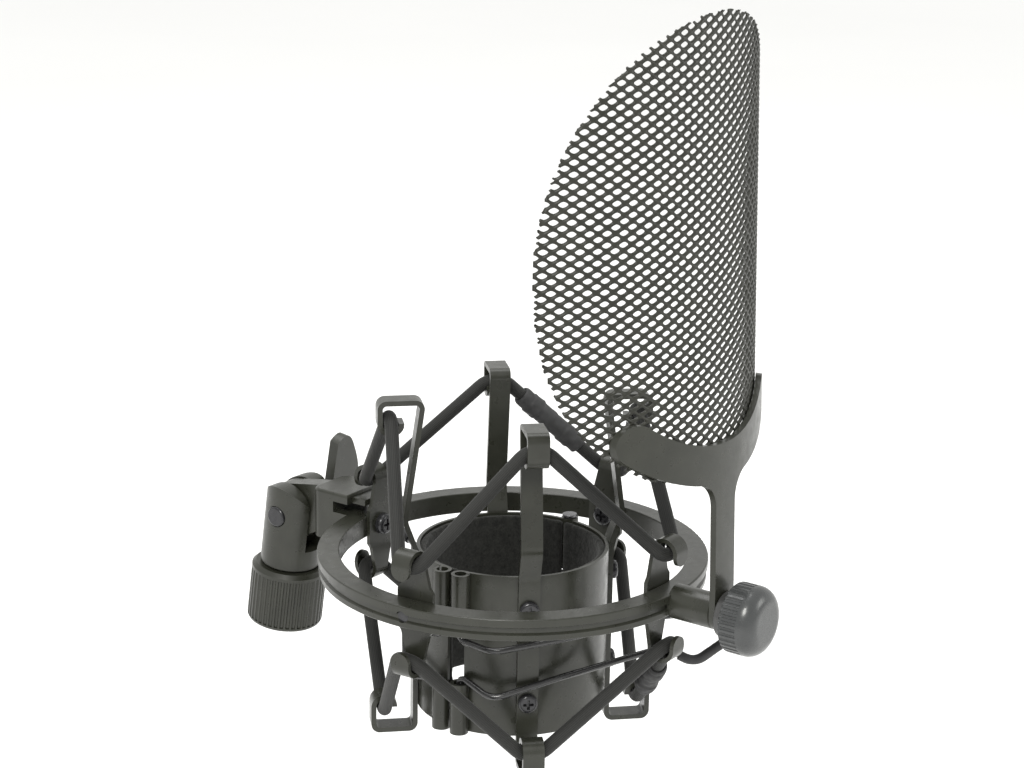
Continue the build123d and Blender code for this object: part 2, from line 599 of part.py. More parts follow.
# ---------------------------------------------------------------- stand swivel
def ring_saddle():
    """The cast saddle on the ring: a block with a flange over the ring and a pivot tongue."""
    web = block(-SADDLE_HALF, SADDLE_HALF, RING_OUTER_R - 1.2, SADDLE_OUTER_Y, SADDLE_BOTTOM_Z, SADDLE_TOP_Z)
    far_edges = [edge for edge in web.edges().filter_by(Axis.Z) if edge.center().Y > RING_OUTER_R]
    web = fillet(far_edges, 3.5)
    web = fillet(web.edges().group_by(Axis.Z)[-1], 0.9)
    pocket_top = SADDLE_TOP_Z - SADDLE_FLANGE
    outside = SADDLE_HALF + 1
    pocket_end = RING_OUTER_R + 4.5
    pocket = block(-outside, outside, RING_INNER_R - 1, pocket_end, RING_HEIGHT / 2, pocket_top)
    lip = SADDLE_HALF - 2.4
    lip_start = RING_INNER_R + 0.3
    flange = block(-lip, lip, lip_start, RING_OUTER_R + 1, pocket_top, SADDLE_TOP_Z - 0.9)
    hub = cylinder_x(TONGUE_R, -TONGUE_HALF, TONGUE_HALF, PIVOT_Y, PIVOT_Z)
    neck_start = SADDLE_OUTER_Y - 2
    neck_side = Polyline((0, neck_start, SADDLE_BOTTOM_Z + 1), (0, neck_start, SADDLE_TOP_Z - 0.4),
                         (0, PIVOT_Y + 1.4, PIVOT_Z + TONGUE_R - 0.15), (0, PIVOT_Y, PIVOT_Z - TONGUE_R),
                         close=True)
    neck = extrude(make_face(neck_side), TONGUE_HALF, dir=(1, 0, 0), both=True)
    saddle = (web - pocket) + flange + hub + neck
    saddle -= cylinder_x(BOLT_R + RUNNING_FIT, -SADDLE_HALF, SADDLE_HALF, PIVOT_Y, PIVOT_Z)
    saddle -= cylinder_y(LARGE_SCREW["shank_r"], RING_OUTER_R - 3, RING_OUTER_R + 4)
    return saddle - ring_hoop()


def clip_ring(outer_r):
    """A plain ring at the circlip's height, from the floor of its groove out to a radius."""
    ring = cylinder_z(outer_r, CLIP_TOP - CLIP_THICK, CLIP_TOP)
    return ring - cylinder_z(SPIGOT_R - CLIP_DEPTH, CLIP_TOP - CLIP_THICK - 1, CLIP_TOP + 1)


def swivel_body():
    """The swivel's barrel: a slotted round body on a spigot that turns in the stand collar."""
    barrel = cylinder_z(SWIVEL_R, SWIVEL_FOOT, SWIVEL_CAP_R)
    dome = cylinder_x(SWIVEL_CAP_R, -SWIVEL_R - 1, SWIVEL_R + 1)
    dome += block(-SWIVEL_R - 1, SWIVEL_R + 1, -SWIVEL_R - 1, SWIVEL_R + 1, SWIVEL_FOOT - 1, 0)
    barrel &= dome
    barrel = chamfer(barrel.edges().group_by(Axis.Z)[0], 0.5)
    barrel += cylinder_z(SPIGOT_R, SWIVEL_FOOT - SPIGOT_LENGTH, SWIVEL_FOOT)
    barrel -= clip_ring(SPIGOT_R + 1)
    barrel -= block(-SLOT_HALF, SLOT_HALF, -SWIVEL_R - 1, SWIVEL_R + 1, SLOT_FLOOR, SWIVEL_CAP_R + 1)
    barrel -= cylinder_x(BOLT_R, -SWIVEL_R - 1, SWIVEL_R + 1)
    barrel -= cylinder_x(BOLT_HEAD_R + 0.15, -SWIVEL_R - 1, -SWIVEL_R + 1.2)
    barrel -= cylinder_x(WING_HUB_R + 0.4, SWIVEL_R - 0.5, SWIVEL_R + 1)
    return place_on_swivel(barrel)


def pivot_bolt():
    """The pivot bolt with a low round head on the -X cheek and its thread in the wing."""
    bolt = cylinder_x(BOLT_R, -SWIVEL_R + 1.2, WING_HUB_END - 2)
    head = cylinder_x(BOLT_HEAD_R, -SWIVEL_R - 0.4, -SWIVEL_R + 1.2)
    head = fillet(head.edges().filter_by(GeomType.CIRCLE).sort_by(Axis.X)[0], 0.7)
    return place_on_swivel(head + bolt)


def pivot_washers():
    """Two friction washers beside the tongue and a plain one under the wing."""
    rings = []
    for start in (-SLOT_HALF, SLOT_HALF - PIVOT_WASHER):
        rings.append(cylinder_x(TONGUE_R - 2, start, start + PIVOT_WASHER))
    rings.append(cylinder_x(WING_HUB_R, SWIVEL_R - 0.5, WING_START - 3 * FACE_GAP))
    hole = cylinder_x(BOLT_R, -SWIVEL_R, WING_START)
    return [place_on_swivel(ring - hole) for ring in rings]


def wing_outline(side):
    """One leaf of the wing screw, in the plane of its axis."""
    return [(WING_HUB_END - 0.8, 0), (WING_HUB_END, side * WING_REACH * 0.93),
            (WING_HUB_END + 5.5, side * WING_REACH), (WING_HUB_END + 8.5, side * WING_REACH * 0.8),
            (WING_END, side * WING_REACH * 0.3), (WING_END - 1.0, 0)]


def wing_lever():
    """The wing screw that locks the tilt."""
    hub = cylinder_x(WING_HUB_R, WING_START, WING_HUB_END)
    hub = fillet(hub.edges().filter_by(GeomType.CIRCLE).sort_by(Axis.X)[-1], 0.8)
    wings = []
    for side in (1, -1):
        points = wing_outline(side)
        edge = [Line(*[(x, 0, z) for x, z in points[:2]]),
                Spline(*[(x, 0, z) for x, z in points[1:]]),
                Line((points[-1][0], 0, 0), (points[0][0], 0, 0))]
        leaf = extrude(make_face(edge), WING_HALF_THICK, both=True)
        wings.append(leaf)
    core = block(WING_START + 3, WING_END - 3, -WING_HALF_THICK, WING_HALF_THICK, -3, 3)
    lever = hub + wings[0] + wings[1] + core
    lever -= cylinder_x(BOLT_R + RUNNING_FIT, WING_START - 1, WING_HUB_END - 1.5)
    return place_on_swivel(lever)


def collar_circlip():
    """The snap ring that keeps the collar on the swivel's spigot."""
    clip = clip_ring(SPIGOT_R + CLIP_PROUD)
    low = CLIP_TOP - CLIP_THICK - 1
    clip -= block(0, SPIGOT_R + 2 * CLIP_PROUD, -CLIP_GAP, CLIP_GAP, low, CLIP_TOP + 1)
    return place_on_swivel(clip)


def stand_collar():
    """The knurled collar that screws onto the stand."""
    collar = cylinder_z(COLLAR_R, COLLAR_BOTTOM, COLLAR_TOP)
    collar = chamfer(collar.edges().filter_by(GeomType.CIRCLE).sort_by(Axis.Z)[-1], 1.2)
    collar = fillet(collar.edges().filter_by(GeomType.CIRCLE).sort_by(Axis.Z)[0], 1.4)
    knurl_top = COLLAR_TOP - 2.2
    collar = fluted(collar, COLLAR_R + 0.2, COLLAR_BOTTOM + 1.4, knurl_top, COLLAR_FLUTES, COLLAR_FLUTE_R)
    recess_top = CLIP_TOP + FACE_GAP
    collar -= cylinder_z(SPIGOT_R + RUNNING_FIT, recess_top - 1, COLLAR_TOP + 1)
    collar -= cylinder_z(SPIGOT_R + 2.9, INSERT_TOP, recess_top)
    collar -= cylinder_z(INSERT_R, COLLAR_BOTTOM - 1, INSERT_TOP)
    return place_on_swivel(collar)


def thread_insert():
    """The brass insert with the stand's 5/8 inch thread, drawn as a plain bore."""
    insert = cylinder_z(INSERT_R, COLLAR_BOTTOM, INSERT_TOP)
    insert -= cylinder_z(THREAD_R, COLLAR_BOTTOM - 1, INSERT_TOP + 1)
    return place_on_swivel(insert)


# ---------------------------------------------------------------- assembly
def build_nodes():
    """Every sub-part by its node name."""
    nodes = {"ring_hoop": ring_hoop(), "bracket_screws": bracket_screws()}
    for name, angle in BRACKET_ANGLES.items():
        nodes[name] = bracket(angle)
    for name, angle in STRAP_ANGLES.items():
        nodes[name] = strap(angle)
    nodes["upper_elastic"] = elastic(UPPER_INNER_CORNER, UPPER_OUTER_CORNER)
    nodes["lower_elastic"] = elastic(LOWER_INNER_CORNER, LOWER_OUTER_CORNER)
    nodes["upper_splice"] = splice(UPPER_INNER_CORNER, UPPER_OUTER_CORNER, 45, 0, 11, 26)
    nodes["lower_splice"] = splice(LOWER_INNER_CORNER, LOWER_OUTER_CORNER, -45, -90, 13, 18)
    for half in HALF_SIGN:
        nodes[f"{half}_shell"] = half_shell(half)
        nodes[f"{half}_felt"] = felt_liner(half)
        nodes[f"{half}_handle"] = wire_handle(half)
        nodes[f"{half}_grip"] = handle_grip(half)
    nodes["hinge_pin"] = hinge_pin()
    nodes["torsion_spring"] = torsion_spring()
    nodes["front_strap_screws"] = strap_screws(["front_strap_left", "front_strap_right"])
    nodes["back_strap_screws"] = strap_screws(["back_strap_left", "back_strap_right"])
    nodes["filter_post"] = filter_post()
    nodes["filter_stud"] = filter_stud()
    nodes["filter_arm"] = filter_arm()
    nodes["filter_mesh"] = filter_sheet()
    nodes["knob_washer"] = knob_washer()
    nodes["filter_knob"] = filter_knob()
    nodes["ring_saddle"] = ring_saddle()
    nodes["swivel_body"] = swivel_body()
    nodes["pivot_bolt"] = pivot_bolt()
    nodes["pivot_washers"] = pivot_washers()
    nodes["wing_lever"] = wing_lever()
    nodes["collar_circlip"] = collar_circlip()
    nodes["stand_collar"] = stand_collar()
    nodes["thread_insert"] = thread_insert()
    return nodes


def write_nodes(nodes):
    """Write one STEP file per node."""
    os.makedirs("parts", exist_ok=True)
    for name, shape in nodes.items():
        solids = shape if isinstance(shape, list) else [shape]
        parts = [solid for item in solids for solid in item.solids()]
        whole = parts[0] if len(parts) == 1 else Compound(parts)
        export_step(whole, f"parts/{name}.step")
        print(name, len(parts), "solid(s)")


write_nodes(build_nodes())
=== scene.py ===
import logging
import math
from dataclasses import dataclass, field
from enum import Enum
from typing import Dict, List, Sequence, Tuple

import bmesh
import bpy
import numpy as np
from mathutils import Matrix, Vector, noise


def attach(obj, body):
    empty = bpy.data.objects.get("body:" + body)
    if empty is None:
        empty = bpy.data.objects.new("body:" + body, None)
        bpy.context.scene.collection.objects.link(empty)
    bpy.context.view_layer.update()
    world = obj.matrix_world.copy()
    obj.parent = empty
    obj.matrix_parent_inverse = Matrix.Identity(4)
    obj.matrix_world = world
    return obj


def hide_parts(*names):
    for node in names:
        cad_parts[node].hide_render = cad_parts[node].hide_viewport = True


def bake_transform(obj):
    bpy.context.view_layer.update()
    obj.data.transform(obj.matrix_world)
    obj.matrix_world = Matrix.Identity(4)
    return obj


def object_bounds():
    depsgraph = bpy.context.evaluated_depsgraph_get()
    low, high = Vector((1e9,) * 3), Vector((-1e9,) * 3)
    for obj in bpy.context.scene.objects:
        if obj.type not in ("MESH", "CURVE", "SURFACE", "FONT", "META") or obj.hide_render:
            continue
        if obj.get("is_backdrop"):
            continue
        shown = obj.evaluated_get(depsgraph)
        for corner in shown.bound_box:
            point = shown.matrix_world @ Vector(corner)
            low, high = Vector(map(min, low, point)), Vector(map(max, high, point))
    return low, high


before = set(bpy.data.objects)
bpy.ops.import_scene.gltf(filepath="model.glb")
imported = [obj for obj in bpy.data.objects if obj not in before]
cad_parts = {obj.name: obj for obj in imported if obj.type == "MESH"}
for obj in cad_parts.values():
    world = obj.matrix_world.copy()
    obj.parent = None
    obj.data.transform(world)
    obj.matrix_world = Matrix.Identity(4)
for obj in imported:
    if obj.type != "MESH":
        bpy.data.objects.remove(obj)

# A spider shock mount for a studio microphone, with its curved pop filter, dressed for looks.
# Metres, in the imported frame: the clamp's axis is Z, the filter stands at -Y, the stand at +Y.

log = logging.getLogger("shock_mount")

Colour = Tuple[float, float, float]
Point = Tuple[float, float, float]

MM = 0.001
NOISE_MIDDLE = (0.3, 0.7)
HOOKS = 4


class Body(str, Enum):
    """The rigid bodies that the pieces ride on."""

    COLLAR = "collar"
    SWIVEL = "swivel"
    WING = "wing"
    RING = "ring"
    FILTER_ARM = "pop_arm"
    FILTER_KNOB = "pop_knob"
    CRADLE = "cradle_core"
    FRONT = "front_half"
    BACK = "back_half"


class Hang(Enum):
    """Which way an elastic loop runs from the ring: up to the strap tops or down to their feet."""

    UP = 1
    DOWN = -1


# ---------------------------------------------------------------- finishes
class MaterialBench:
    """A procedural material being put together, with the shader ready at its end."""

    def __init__(self, name: str) -> None:
        """Start a material.

        Args:
            name: The material's name.
        """
        self.material = bpy.data.materials.new(f"{name}_finish")
        self.material["record_slot"] = name
        self.material.use_nodes = True
        self.tree = self.material.node_tree
        self.tree.nodes.clear()
        self.shader = self.tree.nodes.new("ShaderNodeBsdfPrincipled")
        output = self.tree.nodes.new("ShaderNodeOutputMaterial")
        self.tree.links.new(self.shader.outputs["BSDF"], output.inputs["Surface"])
        self.place = self.tree.nodes.new("ShaderNodeTexCoord").outputs["Object"]

    def set(self, **values: float) -> None:
        """Set plain values on the shader's own sockets; an underscore stands for a space."""
        for key, value in values.items():
            self.shader.inputs[key.replace("_", " ")].default_value = value

    def link(self, source: bpy.types.NodeSocket, target: bpy.types.NodeSocket) -> None:
        """Join one socket to another."""
        self.tree.links.new(source, target)

    def noise(self, size: float, detail: float = 3.0, stretch: Point = (1.0, 1.0, 1.0),
              source: bpy.types.NodeSocket = None) -> bpy.types.NodeSocket:
        """Add a noise texture.

        Args:
            size: The size of its lumps, in metres.
            detail: How many finer layers it carries.
            stretch: How many times longer the lumps are along each axis.
            source: The coordinates it reads; the object's own by default.

        Returns:
            The noise's value, from 0 to 1.
        """
        mapping = self.tree.nodes.new("ShaderNodeMapping")
        mapping.inputs["Scale"].default_value = [1.0 / s for s in stretch]
        self.link(source or self.place, mapping.inputs["Vector"])
        texture = self.tree.nodes.new("ShaderNodeTexNoise")
        texture.inputs["Scale"].default_value = 1.0 / size
        texture.inputs["Detail"].default_value = detail
        self.link(mapping.outputs["Vector"], texture.inputs["Vector"])
        return texture.outputs["Fac"]

    def spread(self, value: bpy.types.NodeSocket, low: float, high: float) -> bpy.types.NodeSocket:
        """Map the middle of a noise's range to low..high and return the result."""
        node = self.tree.nodes.new("ShaderNodeMapRange")
        node.inputs["From Min"].default_value = NOISE_MIDDLE[0]
        node.inputs["From Max"].default_value = NOISE_MIDDLE[1]
        node.inputs["To Min"].default_value = low
        node.inputs["To Max"].default_value = high
        self.link(value, node.inputs["Value"])
        return node.outputs["Result"]

    def tint(self, value: bpy.types.NodeSocket, dark: Colour, light: Colour) -> None:
        """Colour the surface between two tones by a value."""
        ramp = self.tree.nodes.new("ShaderNodeValToRGB")
        for stop, position, tone in zip(ramp.color_ramp.elements, NOISE_MIDDLE, (dark, light)):
            stop.position = position
            stop.color = (*tone, 1.0)
        self.link(value, ramp.inputs["Fac"])
        self.link(ramp.outputs["Color"], self.shader.inputs["Base Color"])

    def math(self, kind: str, a: bpy.types.NodeSocket, b: object) -> bpy.types.NodeSocket:
        """Combine two values with a named operation; b is a socket or a number."""
        node = self.tree.nodes.new("ShaderNodeMath")
        node.operation = kind
        self.link(a, node.inputs[0])
        if isinstance(b, (int, float)):
            node.inputs[1].default_value = b
        else:
            self.link(b, node.inputs[1])
        return node.outputs["Value"]

    def relief(self, height: bpy.types.NodeSocket, depth: float, strength: float = 1.0) -> None:
        """Raise the surface by a height value times depth, on top of any relief before it."""
        bump = self.tree.nodes.new("ShaderNodeBump")
        bump.inputs["Distance"].default_value = depth
        bump.inputs["Strength"].default_value = strength
        self.link(height, bump.inputs["Height"])
        normal = self.shader.inputs["Normal"]
        if normal.is_linked:
            self.link(normal.links[0].from_socket, bump.inputs["Normal"])
        self.link(bump.outputs["Normal"], normal)

    def roughen(self, value: bpy.types.NodeSocket, low: float, high: float) -> None:
        """Vary the shader's roughness between two limits by a value."""
        self.link(self.spread(value, low, high), self.shader.inputs["Roughness"])


@dataclass(frozen=True)
class SatinPaint:
    """Satin near-black paint on metal, with the slight orange peel of a sprayed coat."""

    name: str = "satin_black_paint"
    dark: Colour = (0.0155, 0.0162, 0.0118)
    light: Colour = (0.0228, 0.0236, 0.0178)
    smooth: float = 0.25
    rough: float = 0.38
    peel: float = 0.7 * MM
    peel_depth: float = 0.005 * MM
    gloss: float = 0.36
    cloud: float = 9 * MM
    wear: float = 3 * MM
    grain: float = 0.12 * MM
    grain_depth: float = 0.004 * MM

    def material(self) -> bpy.types.Material:
        """Build the paint and return its material."""
        bench = MaterialBench(self.name)
        bench.tint(bench.noise(self.cloud, 4.0), self.dark, self.light)
        bench.roughen(bench.noise(self.wear, 5.0), self.smooth, self.rough)
        bench.relief(bench.noise(self.peel, 2.0), self.peel_depth)
        bench.relief(bench.noise(self.grain, 2.0), self.grain_depth)
        bench.set(Specular_IOR_Level=self.gloss, Coat_Weight=0.08, Coat_Roughness=0.2)
        return bench.material


@dataclass(frozen=True)
class TurnedMetal:
    """Machined metal with fine turning marks round one axis, plated or bare."""

    name: str
    dark: Colour
    light: Colour
    metallic: float = 0.85
    smooth: float = 0.2
    rough: float = 0.38
    grain: Point = (1.0, 1.0, 14.0)
    mark: float = 0.16 * MM
    mark_depth: float = 0.006 * MM
    cloud: float = 2.5 * MM

    def material(self) -> bpy.types.Material:
        """Build the metal and return its material."""
        bench = MaterialBench(self.name)
        marks = bench.noise(self.mark, 3.0, self.grain)
        bench.tint(bench.noise(self.cloud, 4.0), self.dark, self.light)
        bench.roughen(marks, self.smooth, self.rough)
        bench.relief(marks, self.mark_depth)
        bench.set(Metallic=self.metallic)
        return bench.material


@dataclass(frozen=True)
class BraidedElastic:
    """The fine braided cover of a shock cord: two families of yarns crossing round the cord."""

    name: str = "elastic_cord"
    dark: Colour = (0.0055, 0.0056, 0.0052)
    light: Colour = (0.0235, 0.0238, 0.0222)
    carriers: int = 24
    pitch: float = 2.2 * MM
    crossings: float = 6.0
    yarn_depth: float = 0.06 * MM
    yarn_share: float = 0.7
    fuzz: float = 0.18 * MM
    fuzz_depth: float = 0.02 * MM

    def material(self) -> bpy.types.Material:
        """Build the braid from the tube's own round and lengthwise coordinates."""
        bench = MaterialBench(self.name)
        wrap = bench.tree.nodes.new("ShaderNodeUVMap")
        wrap.uv_map = "wrap"
        split = bench.tree.nodes.new("ShaderNodeSeparateXYZ")
        bench.link(wrap.outputs["UV"], split.inputs["Vector"])
        turn = bench.math("MULTIPLY", split.outputs["X"], self.carriers * math.tau / 2)
        rate = math.tau / self.pitch * self.carriers / self.crossings
        run = bench.math("MULTIPLY", split.outputs["Y"], rate)
        left = bench.math("SINE", bench.math("ADD", turn, run), 0.0)
        right = bench.math("SINE", bench.math("SUBTRACT", turn, run), 0.0)
        weave = bench.math("MULTIPLY", left, right)
        yarn = bench.math("ADD", bench.math("MULTIPLY", weave, 0.5), 0.5)
        fuzz = bench.noise(self.fuzz, 4.0)
        mixed = bench.math("ADD", bench.math("MULTIPLY", yarn, self.yarn_share),
                           bench.math("MULTIPLY", fuzz, 1 - self.yarn_share))
        bench.tint(mixed, self.dark, self.light)
        bench.relief(yarn, self.yarn_depth)
        bench.relief(fuzz, self.fuzz_depth)
        bench.set(Roughness=0.72, Sheen_Weight=0.08, Sheen_Roughness=0.4, Specular_IOR_Level=0.3)
        return bench.material


@dataclass(frozen=True)
class MatteRubber:
    """Soft moulded rubber or sleeving with a dry, lightly pitted skin."""

    name: str
    dark: Colour = (0.020, 0.020, 0.0205)
    light: Colour = (0.036, 0.036, 0.037)
    smooth: float = 0.55
    rough: float = 0.8
    pit: float = 0.35 * MM
    pit_depth: float = 0.05 * MM

    def material(self) -> bpy.types.Material:
        """Build the rubber and return its material."""
        bench = MaterialBench(self.name)
        bench.tint(bench.noise(2.2 * MM, 5.0), self.dark, self.light)
        bench.roughen(bench.noise(1.1 * MM, 4.0), self.smooth, self.rough)
        bench.relief(bench.noise(self.pit, 4.0), self.pit_depth)
        bench.set(Specular_IOR_Level=0.35)
        return bench.material


@dataclass(frozen=True)
class ShortFelt:
    """Dense black felt: matted fibres, a dull sheen and no gloss."""

    name: str = "black_felt"
    fibre: float = 0.4 * MM
    fibre_depth: float = 0.16 * MM
    mat: float = 1.6 * MM
    mat_depth: float = 0.2 * MM
    dark: Colour = (0.0022, 0.0023, 0.0020)
    light: Colour = (0.0225, 0.0230, 0.0205)

    def material(self) -> bpy.types.Material:
        """Build the felt and return its material."""
        bench = MaterialBench(self.name)
        fibres = bench.noise(self.fibre, 8.0, (2.4, 1.0, 1.6))
        matting = bench.noise(self.mat, 5.0)
        mixed = bench.math("MULTIPLY", bench.math("ADD", fibres, matting), 0.5)
        bench.tint(mixed, self.dark, self.light)
        bench.relief(fibres, self.fibre_depth)
        bench.relief(matting, self.mat_depth)
        bench.set(Roughness=0.95, Sheen_Weight=0.1, Sheen_Roughness=0.6, Specular_IOR_Level=0.08)
        return bench.material


@dataclass(frozen=True)
class MouldedPlastic:
    """Black moulded plastic with a fine spark-eroded texture."""

    name: str
    dark: Colour = (0.030, 0.0318, 0.0325)
    light: Colour = (0.040, 0.0422, 0.0430)
    smooth: float = 0.20
    rough: float = 0.32

    def material(self) -> bpy.types.Material:
        """Build the plastic and return its material."""
        bench = MaterialBench(self.name)
        bench.tint(bench.noise(5 * MM, 3.0), self.dark, self.light)
        bench.roughen(bench.noise(1.4 * MM, 5.0), self.smooth, self.rough)
        bench.relief(bench.noise(0.22 * MM, 3.0), 0.014 * MM)
        bench.set(Specular_IOR_Level=0.5)
        return bench.material


@dataclass(frozen=True)
class WireCoating:
    """The smooth glossy black coating of bent wire, with faint draw lines and wear."""

    name: str = "coated_wire"
    dark: Colour = (0.011, 0.011, 0.0115)
    light: Colour = (0.018, 0.018, 0.0185)
    smooth: float = 0.16
    rough: float = 0.26

    def material(self) -> bpy.types.Material:
        """Build the coating and return its material."""
        bench = MaterialBench(self.name)
        bench.tint(bench.noise(6 * MM, 3.0), self.dark, self.light)
        bench.roughen(bench.noise(2.5 * MM, 5.0), self.smooth, self.rough)
        bench.relief(bench.noise(1.8 * MM, 3.0), 0.003 * MM)
        bench.set(Specular_IOR_Level=0.5, Coat_Weight=0.2, Coat_Roughness=0.15)
        return bench.material


@dataclass(frozen=True)
class PaleBackdrop:
    """The plain pale studio floor that the part is shown over."""

    name: str = "pale_backdrop"
    tone: Colour = (0.93, 0.93, 0.93)

    def material(self) -> bpy.types.Material:
        """Build the sheet's material."""
        bench = MaterialBench(self.name)
        bench.tint(bench.noise(0.4, 2.0), tuple(0.985 * c for c in self.tone), self.tone)
        bench.set(Roughness=0.9, Specular_IOR_Level=0.1)
        return bench.material


# ---------------------------------------------------------------- shop tools
def dress(node: str, material: bpy.types.Material) -> None:
    """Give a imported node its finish.

    Args:
        node: The node's name.
        material: The finish.
    """
    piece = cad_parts[node]
    if not piece.material_slots:
        piece.data.materials.append(material)
    for holder in piece.material_slots:
        holder.link = "OBJECT"
        holder.material = material
    log.info("dressed %s in %s", node, material.name)


def new_piece(name: str, points: Sequence[Sequence[float]], faces: Sequence[Sequence[int]],
              material: bpy.types.Material) -> bpy.types.Object:
    """Make a smooth-shaded mesh piece.

    Args:
        name: The piece's name.
        points: Its vertices, in metres.
        faces: Its faces, as vertex numbers.
        material: Its finish.

    Returns:
        The piece, linked to the scene.
    """
    mesh = bpy.data.meshes.new(name)
    mesh.from_pydata([tuple(p) for p in points], [], [tuple(f) for f in faces])
    mesh.polygons.foreach_set("use_smooth", [True] * len(mesh.polygons))
    mesh.materials.append(material)
    piece = bpy.data.objects.new(name, mesh)
    bpy.context.scene.collection.objects.link(piece)
    return piece


def spline_line(points: Sequence[Vector]) -> np.ndarray:
    """Lay one smooth line through the pull of a few route points.

    Args:
        points: The route, as the line's control points, in metres.

    Returns:
        The line's points in order, one row each.
    """
    curve = bpy.data.curves.new("route", "CURVE")
    curve.dimensions = "3D"
    curve.resolution_u = 14
    spline = curve.splines.new("NURBS")
    spline.points.add(len(points) - 1)
    for slot, point in zip(spline.points, points):
        slot.co = (*point, 1.0)
    spline.order_u = 3
    spline.use_endpoint_u = True
    holder = bpy.data.objects.new("route", curve)
    bpy.context.scene.collection.objects.link(holder)
    bpy.context.view_layer.update()
    mesh = bpy.data.meshes.new_from_object(holder)
    line = np.array([v.co for v in mesh.vertices])
    bpy.data.objects.remove(holder)
    bpy.data.curves.remove(curve)
    bpy.data.meshes.remove(mesh)
    return line


def skin(name: str, line: np.ndarray, radius: float, material: bpy.types.Material,
         sides: int = 28) -> bpy.types.Object:
    """Skin a round cord over a line, with its round and lengthwise coordinates in a UV map.

    Args:
        name: The piece's name.
        line: The centre line's points in order.
        radius: The cord's radius.
        material: Its finish.
        sides: How many facets go round it.

    Returns:
        The cord, open at both ends.
    """
    ahead = np.gradient(line, axis=0)
    ahead /= np.linalg.norm(ahead, axis=1)[:, None]
    across = np.cross(ahead[0], (0.0, 0.0, 1.0))
    run = np.concatenate([[0.0], np.cumsum(np.linalg.norm(np.diff(line, axis=0), axis=1))])
    turns = np.linspace(0, math.tau, sides, endpoint=False)
    rings = []
    for centre, forward in zip(line, ahead):
        across = across - forward * across.dot(forward)
        across /= np.linalg.norm(across)
        up = np.cross(forward, across)
        rings.append(centre + radius * (np.cos(turns)[:, None] * across + np.sin(turns)[:, None] * up))
    faces = []
    wrap = []
    for i in range(len(line) - 1):
        for j in range(sides):
            k = (j + 1) % sides
            faces.append((i * sides + j, i * sides + k, (i + 1) * sides + k, (i + 1) * sides + j))
            a, b = j / sides, (j + 1) / sides
            wrap += [(a, run[i]), (b, run[i]), (b, run[i + 1]), (a, run[i + 1])]
    piece = new_piece(name, np.concatenate(rings), faces, material)
    layer = piece.data.uv_layers.new(name="wrap")
    layer.data.foreach_set("uv", np.array(wrap, np.float32).ravel())
    return piece


def soft_copy(name: str, node: str, voxel: float, lump: float, lump_size: float,
              material: bpy.types.Material) -> bpy.types.Object:
    """Remake a packed soft solid as a fine mesh with eased edges and an uneven hand-made surface.

    Args:
        name: The new piece's name.
        node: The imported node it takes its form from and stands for.
        voxel: The mesh's fineness.
        lump: How far the surface may swell or sink.
        lump_size: How far apart the swellings are.
        material: Its finish.

    Returns:
        The new piece.
    """
    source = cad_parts[node]
    mesh = source.data.copy()
    mesh.transform(source.matrix_world)
    mesh.name = name
    piece = bpy.data.objects.new(name, mesh)
    bpy.context.scene.collection.objects.link(piece)
    remesh = piece.modifiers.new("even", "REMESH")
    remesh.mode = "VOXEL"
    remesh.voxel_size = voxel
    ease = piece.modifiers.new("ease", "SMOOTH")
    ease.factor = 0.5
    ease.iterations = 4
    bpy.context.view_layer.update()
    made = bpy.data.meshes.new_from_object(piece.evaluated_get(bpy.context.evaluated_depsgraph_get()))
    piece.modifiers.clear()
    piece.data = made
    normals = [v.normal.copy() for v in made.vertices]
    for vertex, normal in zip(made.vertices, normals):
        vertex.co += normal * lump * noise.noise(vertex.co / lump_size)
    made.polygons.foreach_set("use_smooth", [True] * len(made.polygons))
    made.materials.clear()
    made.materials.append(material)
    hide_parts(node)
    log.info("made %s over %s, %d faces", name, node, len(made.polygons))
    return piece


# ---------------------------------------------------------------- sub-assemblies
@dataclass
class SuspensionRing:
    """The ring, its four leaf brackets and the screws that hold them."""

    brackets: Tuple[str, ...] = ("bracket_filter_side", "bracket_hinge_side",
                                 "bracket_stand_side", "bracket_opening_side")

    def dress(self, paint: bpy.types.Material, screw: bpy.types.Material) -> None:
        """Paint the ring and brackets and plate the screws."""
        dress("ring_hoop", paint)
        for bracket in self.brackets:
            dress(bracket, paint)
        dress("bracket_screws", screw)


